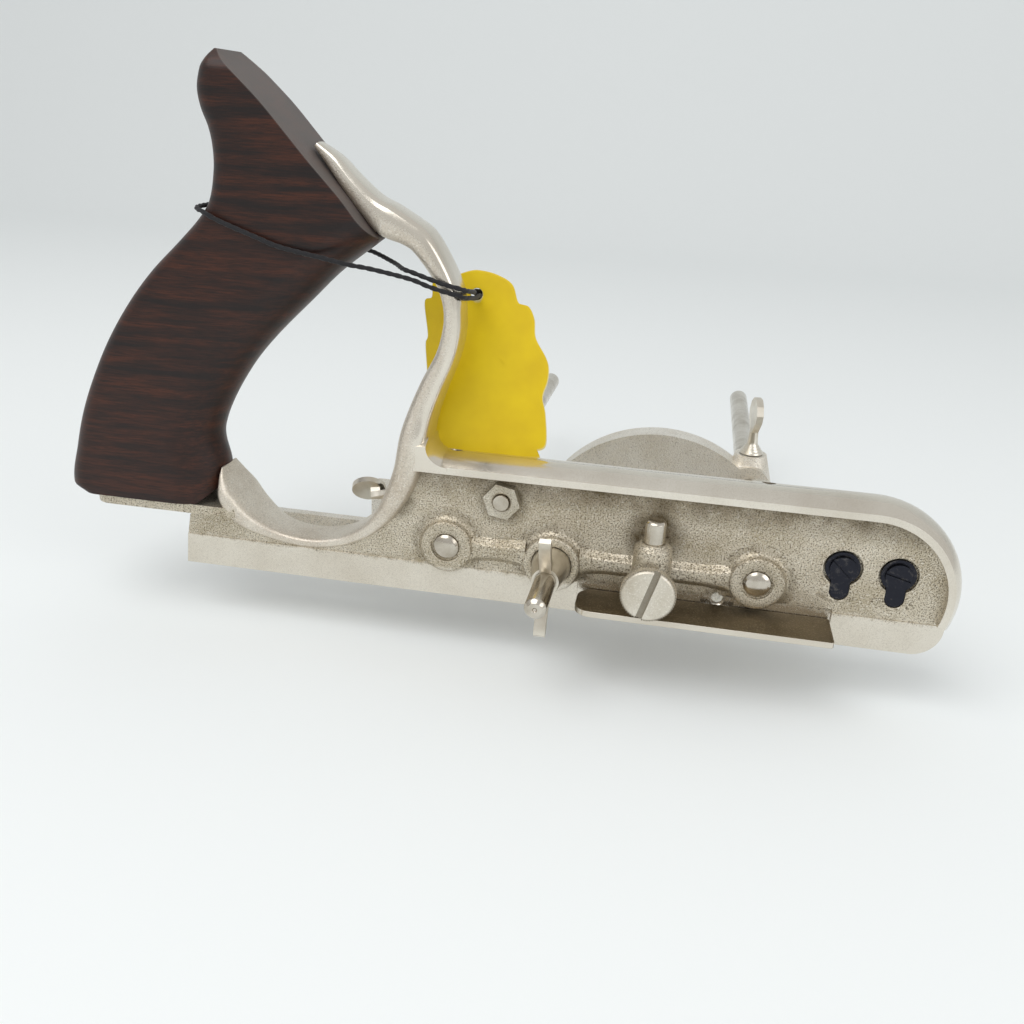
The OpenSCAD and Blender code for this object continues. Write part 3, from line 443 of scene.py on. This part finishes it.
RIM_Y = (-4.35, 11.2)
RIM_CREST = 44.7
RIM_MIDDLE = 3.65
CROWN_R = 12.5
STRUT_FACE = -37.9
STRUT_INSIDE = -41
FILLET_RUN = 6.6
FILLET_RISE = 5.8
FILLET_PROUD = 0.25
FILLET_ROOT = 0.8


def make_handle_loop():
    """The cast bar of the loop: a line through its stations, with a rounded box across it whose
    half sizes times sign(c)|c|^e and sign(s)|s|^e, for c and s the cosine and sine of the angle
    round it, give its width and thickness. The last column of a station is how much further the
    bar stands out to the right."""
    stations = smooth_line(LOOP, 10)
    travel = np.gradient(stations[:, :2], axis=0)
    travel /= np.linalg.norm(travel, axis=1, keepdims=True)
    a = np.arange(56) * 2 * np.pi / 56
    c = np.sign(np.cos(a)) * np.abs(np.cos(a)) ** LOOP_ROUND
    s = np.sign(np.sin(a)) * np.abs(np.sin(a)) ** LOOP_ROUND
    w = c * (LOOP_W + stations[:, 3:4]) / 2 + np.minimum(c, 0) * stations[:, 4:]
    t = s * stations[:, 2:3] / 2
    x = HEEL + stations[:, :1] - travel[:, 1:] * t
    z = stations[:, 1:2] + travel[:, :1] * t
    rings = np.stack([x, LOOP_Y + w, z], -1)
    inner = np.clip(0.5 + 2.2 * s + 0 * t, 0, 1)
    high = np.clip((stations[:, 1:2] - 36) / 14, 0, 1)
    points, faces = skin(rings * MM)
    loop = put_piece("loop_bar", points, faces, LOOP_FINISH, sharp=60,
                     values={"polish": (1 - inner) * high})
    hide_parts("handle_loop")


def make_strut_fillet():
    """The hollow corner between the strut and the rim: a quarter ellipse in X and Z at each place
    across the rim, its foot on the crown z = crest - (y - middle)^2 / (2 r)."""
    y = np.linspace(*RIM_Y, 15)[:, None]
    crown = RIM_CREST - (y - RIM_MIDDLE) ** 2 / (2 * CROWN_R)
    a = np.linspace(0, np.pi / 2, 12)[None]
    x = STRUT_FACE + FILLET_RUN * (1 - np.cos(a)) + 0 * y
    z = crown + FILLET_PROUD + FILLET_RISE * (1 - np.sin(a))
    toe, inside, root = STRUT_FACE + FILLET_RUN + 0 * y, STRUT_INSIDE + 0 * y, crown - FILLET_ROOT
    x = np.hstack([x, toe, inside, inside])
    z = np.hstack([z, root, root, crown + FILLET_PROUD + FILLET_RISE])
    points, faces = skin(np.stack([x, y + 0 * x, z], -1) * MM)
    put_piece("strut_fillet", points, faces, LOOP_FINISH, sharp=40,
              values={"polish": np.ones(len(points))})


LOOP_FINISH = cast_nickel("sandy_loop", "e0d8ca", "cbbfae", "f6f2ea", pits=0.30,
                          polish=lambda f: f.attribute("polish"), grain=1.2)
make_handle_loop()
make_strut_fillet()

# Wooden handle
WOOD_BACK = [
    [22, -32.5], [24.6, -36.1], [37.2, -33.5], [48.6, -30.1], [60.5, -25], [72.3, -18.7],
    [83.9, -10.8], [93.1, -3], [101.6, 5.8], [108.6, 12.6], [113.4, 15.8], [121.5, 17.6],
    [127.5, 17.7], [132.6, 16.8], [137.6, 14.9], [142.6, 14.2], [147.5, 15.4], [150.5, 17.2],
    [152.2, 19]]
WOOD_FRONT = [
    [22, 13], [30, 13.4], [42.4, 11.8], [51.8, 14.7], [65.2, 22.6], [75.1, 30.8],
    [87.1, 42.8], [95.6, 51.5], [105, 63.5], [152.2, 123]]
WOOD_FACET = [
    [22, 145], [102, 67.5], [107.1, 62.9], [115.4, 56.3], [120.2, 51.8], [125.8, 46.4], [132.2, 40.6],
    [139.6, 33.8], [145.4, 27.6], [149.5, 23], [152.2, 20.4]]
WOOD_FOOT = 22.0
WOOD_TOP = 152.2
WOOD_T = 23.5
WOOD_ROUND = 5.0
TIP_FROM = 146.5
TIP_IN = 4.4
FOOT_CORNER = 6.4
FOOT_SLOPE = 0.85
FOOT_MOST = 12
FOOT_FADED = 46


def make_wooden_handle():
    """Level sections of the grip: at height z the back edge is rounded by a quarter ellipse, the
    sides run flat, and the front closes in a half ellipse, cut off where the facet's line is
    reached, so half width = min(back ellipse, front ellipse) at each place from back to facet. The
    tip narrows by the square of the height above TIP_FROM. In front the foot rises by FOOT_SLOPE
    of the way past its corner, fading out at the height FOOT_FADED."""
    z = np.linspace(WOOD_FOOT, WOOD_TOP, 190)[:, None]
    back = smooth_table(z, WOOD_BACK)
    front = smooth_table(z, WOOD_FRONT)
    end = np.minimum(front, smooth_table(z, WOOD_FACET))
    rb = np.minimum(WOOD_ROUND * 1.15, (end - back) / 2.2)
    rf = WOOD_T * 0.6
    flat = np.maximum(back + rb + 0.2, np.minimum(front - rf, end - 3))
    q = np.linspace(0, np.pi / 2, 9)[None]
    p = np.linspace(0, np.pi / 2, 22)[None]
    x = np.hstack([back + rb * (1 - np.cos(q)), flat + (end - flat) * np.sin(p)])
    half = WOOD_T / 2 - TIP_IN * (np.maximum(z - TIP_FROM, 0) / (WOOD_TOP - TIP_FROM)) ** 2
    tail = half - WOOD_ROUND + WOOD_ROUND * np.sqrt(np.clip(1 - ((back + rb - x) / rb) ** 2, 0, 1))
    tail = np.where(x < back + rb, tail, half)
    nose = half * np.sqrt(np.clip(1 - (np.maximum(x - front + rf, 0) / rf) ** 2, 0, 1))
    w = np.maximum(0.5, np.minimum(tail, nose))
    fade = np.clip((FOOT_FADED - z) / (FOOT_FADED - WOOD_FOOT), 0, 1)
    z = z + np.clip(FOOT_SLOPE * (x - FOOT_CORNER), 0, FOOT_MOST) * fade
    rings = np.concatenate([
        np.stack([HEEL + x, LOOP_Y + w, z], -1),
        np.stack([HEEL + x, LOOP_Y - w, z], -1)[:, ::-1]], 1)
    cut = np.clip((x - end + 0.4) / 0.4, 0, 1) * (front - end > 1.0)
    points, faces = skin(rings * MM)
    handle = put_piece("rosewood_handle", points, faces, rosewood(), sharp=28,
                       values={"facet": np.hstack([cut, cut[:, ::-1]])})
    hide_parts("wooden_handle")


make_wooden_handle()

# Finishes of the metal


NOSE = (91.23, 18.0)
REAR_ARM = (-31, 17.2)
FRONT_ARM = (61.5, 17.2)
CLAMP = (1.4, 15.4)
STOP = (31, -9.6)
KNOB_AXIS = (31, 16.7)
# Rings of brown painted shade with grime round the bosses and hollows: x, z and radius.
SHADE_AND_GRIME_SPOTS = [(*REAR_ARM, 7.4), (*FRONT_ARM, 7.4), (*CLAMP, 8.4), (-14.6, 33.6, 4.6), (31, 27.5, 5.6),
         (-47.5, 30, 2.5)]
SHADE_AND_GRIME_SPREAD = 4.6
LIP_SHADE_AND_GRIME_Z = (31.5, 40.0)
WEB_DEEP_Y = (-2.3, -1.6)
WEB_FOOT_Z = (9.8, 11.2)
RIM_INNER = (22.2, 22.5)
BAND_TOP = (10.6, 9.2)
BAND_RAGGED = 0.9
SLOT_Y = (-19.85, -19.7)


def metres(pair):
    return pair[0] * MM, pair[1] * MM


def reach(f, x, z, place):
    """Distance in X and Z from a place, in metres."""
    dx = f.math("SUBTRACT", x, place[0] * MM)
    dz = f.math("SUBTRACT", z, place[1] * MM)
    return f.math("SQRT", f.math("ADD", f.math("MULTIPLY", dx, dx), f.math("MULTIPLY", dz, dz)))


def stock_polish(f):
    """Bright on the rim, which is all that lies further than its radius from the nose's middle or
    from the line behind it, and, with a ragged edge, on the milled band of the skate."""
    x, z = f.axis("X"), f.axis("Z")
    ahead = f.math("MAXIMUM", x, NOSE[0] * MM)
    rim = f.ramp(reach(f, ahead, z, NOSE), *metres(RIM_INNER))
    up_or_down = metres((-BAND_RAGGED, BAND_RAGGED))
    ragged = f.math("ADD", z, f.ramp(f.noise(260, 4.0, 0.7), 0.3, 0.7, *up_or_down))
    return f.math("MAXIMUM", rim, f.ramp(ragged, *metres(BAND_TOP), 0.0, 0.9))


def stock_shade_and_grime(f):
    """Brown painted shade under the rim's lip and in a ring round each boss, with grime mixed in, over
    the web alone.
    """
    x, y, z = f.axis("X"), f.axis("Y"), f.axis("Z")
    shade_and_grime_mask = f.ramp(z, *metres(LIP_SHADE_AND_GRIME_Z))
    for place in SHADE_AND_GRIME_SPOTS:
        ring = f.ramp(reach(f, x, z, place), *metres((place[2] + SHADE_AND_GRIME_SPREAD, place[2])))
        shade_and_grime_mask = f.math("MAXIMUM", shade_and_grime_mask, ring)
    shade_and_grime_mask = f.math("MULTIPLY", shade_and_grime_mask, f.ramp(f.noise(170, 4.0, 0.65), 0.30, 0.66, 0.30, 0.95))
    web = f.math("MULTIPLY", f.ramp(y, *metres(WEB_DEEP_Y)), f.ramp(z, *metres(WEB_FOOT_Z)))
    return f.math("MULTIPLY", shade_and_grime_mask, web)


def slot_painted_shade(f):
    """Painted shade: brown darkening on the floor of the knob's slot, which lies behind its face."""
    inside = f.ramp(f.axis("Y"), *metres(SLOT_Y))
    return f.math("MULTIPLY", inside, f.ramp(f.facing("Y"), -0.6, -0.9, 0.0, 0.62))


STOCK = cast_nickel("pitted_stock", "d8cfbd", "b9ad95", "f3eee3", pits=1.0, polish=stock_polish,
                    shade_and_grime=stock_shade_and_grime)
CAST = cast_nickel("cast_fence", "f1ece2", "e2dacb", "fcfaf6", pits=0.45)
# The depth foot's dark brown is a painted reflection of the shaded web on its top; its faces toward -Y
# get the bright plating.
REFLECTING_FOOT = cast_nickel("foot_painted_reflection", "867860", "64573f", "b3a78e", pits=0.3,
                   polish=lambda f: f.ramp(f.facing("Y"), -0.5, -0.8))
STEEL = bright_nickel("bright_steel", "cdc6ba", "a49a88", 0.14, (1, 6, 1))
PLATE = bright_nickel("plated_steel", "e2dccf", "c6bdac", 0.28)
# The knob's slot floor gets brown painted shade.
KNOB = cast_nickel("worn_knob", "e2dccf", "c6bdac", "f4f0e8", pits=0.12, grain=0.15, shade_and_grime=slot_painted_shade)
DULL = cast_nickel("dull_nut", "cfc8b8", "b0a691", "ece7dc", pits=0.7)
BLUED = blued_steel()

DRESSED = [
    ("main_stock", STOCK, "plated_casting", 0.25), ("sliding_section", CAST, "plated_casting", 0.3),
    ("fence", CAST, "plated_casting", 0.4), ("handle_screw", STEEL, "plated_steel", 0.15),
    ("rear_arm", STEEL, "plated_steel", 0.2), ("front_arm", STEEL, "plated_steel", 0.2),
    ("arm_set_screws", BLUED, "blued_steel", 0.1), ("depth_rod", STEEL, "plated_steel", 0.15),
    ("depth_foot", REFLECTING_FOOT, "plated_steel", 0.15), ("depth_screw", KNOB, "plated_steel", 0.1),
    ("clamp_bolt", STEEL, "plated_steel", 0.2), ("wing_nut", PLATE, "plated_steel", 0.3),
    ("adjusting_lever", PLATE, "plated_steel", 0.2), ("lever_stud", STEEL, "plated_steel", 0.15),
    ("lever_washer", STEEL, "plated_steel", 0.1), ("lever_nut", DULL, "plated_steel", 0.2),
    ("rear_stored_spur", BLUED, "blued_steel", 0.1), ("front_stored_spur", BLUED, "blued_steel", 0.1),
    ("stored_spur_screws", BLUED, "blued_steel", 0.1), ("section_spur", BLUED, "blued_steel", 0.1),
    ("section_spur_screw", BLUED, "blued_steel", 0.1),
    ("rear_section_thumbscrew", PLATE, "plated_steel", 0.2),
    ("front_section_thumbscrew", PLATE, "plated_steel", 0.2),
    ("rear_fence_thumbscrew", PLATE, "plated_steel", 0.2),
    ("front_fence_thumbscrew", PLATE, "plated_steel", 0.2)]


def node_bodies():
    """Body that each CAD node rides on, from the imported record."""
    where = {}
    for body, nodes in frame["record"]["behaviour"]["bodies"].items():
        for node in nodes:
            where[node] = body
    return where


def turn_knob(points):
    """Turns the stop screw about its own axis, so that its slot stands nearly up."""
    x0, z0 = metres(KNOB_AXIS)
    x, z = points[:, 0] - x0, points[:, 2] - z0
    c, s = math.cos(KNOB_TURN), math.sin(KNOB_TURN)
    return np.stack([x0 + x * c - z * s, points[:, 1], z0 + x * s + z * c], -1)


def tilt_pad(points):
    """Turns the lever's thumb pad about the lever's own length, to lie flat."""
    along, away = np.array(PAD_ALONG), points - np.array(PAD) * MM
    length = away @ along
    pad = np.clip((PAD_END * MM - length) / (PAD_BLEND * MM), 0, 1)
    turn = PAD_TURN * pad[:, None]
    cross = np.cross(along, away)
    turned_away = (away * np.cos(turn) + cross * np.sin(turn)
                   + along * length[:, None] * (1 - np.cos(turn)))
    return np.array(PAD) * MM + turned_away


KNOB_TURN = math.radians(99)
PAD = (-61.0, 13.1, 24.5)
PAD_ALONG = (0.9811, 0.0, 0.1935)
PAD_TURN = math.radians(62)
PAD_END = 5.4
PAD_BLEND = 0.9
RESHAPED = {"depth_screw": turn_knob, "adjusting_lever": tilt_pad}


def dress(node, finish, edge, body):
    """A merged copy of a CAD node's own mesh stands for it, its flat faces whole, its corners
    slightly broken by a bevel of `edge` mm, and shaded smooth along its curves."""
    mesh = frame["nodes"][node].data.copy()
    mesh.name = node + "_skin"
    work = bmesh.new()
    work.from_mesh(mesh)
    bmesh.ops.remove_doubles(work, verts=work.verts, dist=1e-6)
    bmesh.ops.dissolve_limit(work, angle_limit=math.radians(0.5), verts=work.verts, edges=work.edges)
    work.to_mesh(mesh)
    work.free()
    if node in RESHAPED:
        places = np.empty(len(mesh.vertices) * 3)
        mesh.vertices.foreach_get("co", places)
        mesh.vertices.foreach_set("co", RESHAPED[node](places.reshape(-1, 3)).ravel())
    mesh.polygons.foreach_set("use_smooth", np.ones(len(mesh.polygons), bool))
    mesh.set_sharp_from_angle(angle=math.radians(32))
    mesh.materials.clear()
    mesh.materials.append(finish)
    piece = bpy.data.objects.new(node + "_skin", mesh)
    bpy.context.scene.collection.objects.link(piece)
    bevel = piece.modifiers.new("broken_edges", "BEVEL")
    bevel.width = edge * MM
    bevel.segments = 2
    bevel.limit_method = "ANGLE"
    bevel.angle_limit = math.radians(40)
    bevel.harden_normals = True
    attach(piece, body)
    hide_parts(node)


bodies = node_bodies()
for node, finish, slot, edge in DRESSED:
    dress(node, finish, edge, bodies[node])

WEB_Y = -1.3
BOSS_Y = -4.2
POCKET_TOP = 11.1
RIB_Z = 17.0
ARM_BORE = 4.65
ARM_LIP = 7.95
CLAMP_BORE = 6.3
CLAMP_LIP = 8.6
RIB_FROM_ARM = 7.2
RIB_FROM_CLAMP = 8.2
SPUR_R = 5.55
TAB_HALF = 2.75
TAB_DOWN = 7.3
KEY_LIP = 0.9
KEY_REACH = 10.9


def make_boss(name, x, z, bore, lip):
    """A boss turned about Y: a flat face, a rounded lip of radius `lip` and a hollow flare that
    runs out on the web. Where the pocket over the depth stop lies below, the flare ends above it."""
    profile = [[BOSS_Y + 1.4, bore], [BOSS_Y - 0.02, bore], [BOSS_Y - 0.12, bore + 0.25],
               [BOSS_Y - 0.12, lip - 1.0], [BOSS_Y - 0.05, lip - 0.55], [BOSS_Y + 0.14, lip - 0.2],
               [BOSS_Y + 0.5, lip], [BOSS_Y + 0.9, lip + 0.12], [BOSS_Y + 1.5, lip + 0.45],
               [BOSS_Y + 2.0, lip + 0.95], [BOSS_Y + 2.45, lip + 1.7], [BOSS_Y + 2.75, lip + 2.8],
               [WEB_Y - 0.02, lip + 3.9], [WEB_Y + 0.3, lip + 3.9], [WEB_Y + 0.3, bore]]
    rings = turned(profile, 72, (x, 0, z))
    flare = (np.arange(len(profile)) > 7)[:, None]
    if x > 0:
        low = flare & (rings[..., 2] < POCKET_TOP)
        rings[..., 2] = np.where(low, np.minimum(POCKET_TOP, z), rings[..., 2])
    points, faces = skin(rings * MM, joined=True)
    put_piece(name, points, faces, STOCK, sharp=50)


def make_web_rib(name, x0, x1):
    """The rib that joins the bosses: at t from its middle height its face stands 2.3 before the web,
    rounds off and falls to it. At distances d0 and d1 from its ends its height is that times
    1 + 0.7 (e^(-d0 / 2.6) + e^(-d1 / 2.6))."""
    x = np.linspace(x0, x1, 60)[:, None]
    t = np.array([-3.6, -2.9, -2.3, -2.0, -1.7, -1.2, 0.9, 1.4, 1.7, 2.0, 2.6, 3.3])[None]
    y = np.array([0.0, -0.5, -1.4, -1.95, -2.2, -2.3, -2.3, -2.25, -2.05, -1.6, -0.7, 0.0])[None]
    wide = 1 + (np.exp((x0 - x) / 2.6) + np.exp((x - x1) / 2.6)) * 0.7
    z = np.maximum(RIB_Z + t * wide, POCKET_TOP + 0.1)
    y = WEB_Y + y + 0 * x
    z = np.hstack([z, z[:, -1:], z[:, :1]])
    y = np.hstack([y, WEB_Y + 0.4 + 0 * x, WEB_Y + 0.4 + 0 * x])
    points, faces = skin(np.stack([x + 0 * z, y, z], -1) * MM)
    put_piece(name, points, faces, STOCK, sharp=40)


def make_stop_boss():
    """The upright boss of the depth stop, turned about Z with a rounded shoulder."""
    foot = POCKET_TOP + 0.2
    profile = [[foot, 3.1], [foot, 5.5], [14, 5.6], [24, 5.6], [25.6, 5.5], [27, 5.15], [28, 4.6],
               [28.7, 4.0], [29, 3.5], [29, 3.1]]
    points, faces = skin(turned(profile, 56, (*STOP, 0), axis="z") * MM, joined=True)
    put_piece("stop_rod_boss", points, faces, STOCK, sharp=50)


def make_keyhole_lip(name, x, z):
    """A thin worn lip round a stored spur's keyhole. At each angle the hole reaches as far as the
    spur's circle or the rounded tab below it, whichever is further, and the lip a little beyond."""
    a = np.linspace(0, 2 * np.pi, 144, endpoint=False)[:, None]
    t = np.linspace(0, 14, 561)[None]
    u, v = t * np.cos(a), t * np.sin(a)
    tab = (np.abs(u) < TAB_HALF) & (v < 0) & (v > -TAB_DOWN) | (np.hypot(u, v + TAB_DOWN) < TAB_HALF)
    inner = np.where((t < SPUR_R) | tab, t, 0).max(1)
    below = np.hypot(np.cos(a[:, 0]), np.sin(a[:, 0]) + 1) < 0.62
    outer = np.where(below, np.maximum(inner + KEY_LIP, KEY_REACH), inner + KEY_LIP)
    rows = [(inner, 0.35), (inner, -0.06), (inner + 0.12, -0.14), (outer - 0.25, -0.12), (outer, 0.0),
            (outer, 0.35)]
    rings = np.stack([np.stack([x + r * np.cos(a[:, 0]), WEB_Y + d + 0 * r,
                                z + r * np.sin(a[:, 0])], -1) for r, d in rows])
    points, faces = skin(rings * MM, joined=True)
    put_piece(name, points, faces, STOCK, sharp=50)


make_boss("rear_arm_boss", *REAR_ARM, ARM_BORE, ARM_LIP)
make_boss("front_arm_boss", *FRONT_ARM, ARM_BORE, ARM_LIP)
make_boss("clamp_boss", *CLAMP, CLAMP_BORE, CLAMP_LIP)
make_web_rib("rear_web_rib", REAR_ARM[0] + RIB_FROM_ARM, CLAMP[0] - RIB_FROM_CLAMP)
make_web_rib("front_web_rib", CLAMP[0] + RIB_FROM_CLAMP, FRONT_ARM[0] - RIB_FROM_ARM)
make_stop_boss()
make_keyhole_lip("rear_keyhole_lip", NOSE[0] - 6.5, NOSE[1] + 6.2)
make_keyhole_lip("front_keyhole_lip", NOSE[0] + 8.9, NOSE[1] + 5.8)

# Floor, lamps and world
FLOOR_Z = -18.0 * MM
FLOOR_RUN = 1.0
FLOOR_CURVE = 0.6
BACKDROP_H = 1.2


def make_stage():
    """A pale floor that curves up into the backdrop, seen as near white, with its shadow kept."""
    u = np.concatenate([[-1.2, -0.6, 0.0], np.linspace(0, 1, 24)[1:], [1.05]])
    a = np.clip(u, 0, 1) * np.pi / 2
    y = FLOOR_RUN + np.where(u <= 0, u * 1.5, FLOOR_CURVE * np.sin(a))
    z = FLOOR_Z + FLOOR_CURVE * (1 - np.cos(a)) + np.where(u > 1, BACKDROP_H, 0)
    x = np.linspace(-2.5, 2.5, 3)
    grid = np.stack(np.broadcast_arrays(x[None], y[:, None], z[:, None]), -1)
    n = len(x)
    i, j = np.meshgrid(np.arange(len(u) - 1), np.arange(n - 1), indexing="ij")
    quads = np.stack([i * n + j, i * n + j + 1, (i + 1) * n + j + 1, (i + 1) * n + j], -1)
    mesh = bpy.data.meshes.new("floor")
    mesh.from_pydata(grid.reshape(-1, 3).tolist(), [], quads.reshape(-1, 4).tolist())
    mesh.polygons.foreach_set("use_smooth", np.ones(len(mesh.polygons), bool))
    f = Finish("pale_floor")
    mesh.materials.append(f.surface(Base_Color=rgb("f2f5f5"), Roughness=0.9))
    floor = bpy.data.objects.new("floor", mesh)
    bpy.context.scene.collection.objects.link(floor)


def add_lamp(name, place, aim, size, power):
    data = bpy.data.lights.new(name, "AREA")
    data.shape = "RECTANGLE"
    data.size, data.size_y = size
    data.energy = power
    lamp = bpy.data.objects.new(name, data)
    back = np.array(place, float) - np.array(aim, float)
    back /= np.linalg.norm(back)
    side = np.cross((0, 0, 1), back)
    side /= np.linalg.norm(side)
    turn = Matrix((side, np.cross(back, side), back)).transposed().to_4x4()
    lamp.matrix_world = Matrix.Translation(place) @ turn
    bpy.context.scene.collection.objects.link(lamp)


def make_world():
    world = bpy.data.worlds.new("studio")
    bpy.context.scene.world = world
    world.use_nodes = True
    background = world.node_tree.nodes["Background"]
    background.inputs["Color"].default_value = rgb("f7f8f8")
    background.inputs["Strength"].default_value = 0.70


make_stage()
make_world()
add_lamp("key", (-0.35, -0.5, 0.95), (0, 0, 0.04), (0.9, 0.9), 5.5)
add_lamp("fill", (0.9, -0.6, 0.5), (0.03, 0, 0.04), (0.8, 0.6), 2.4)
bpy.context.scene.view_settings.view_transform = "Standard"
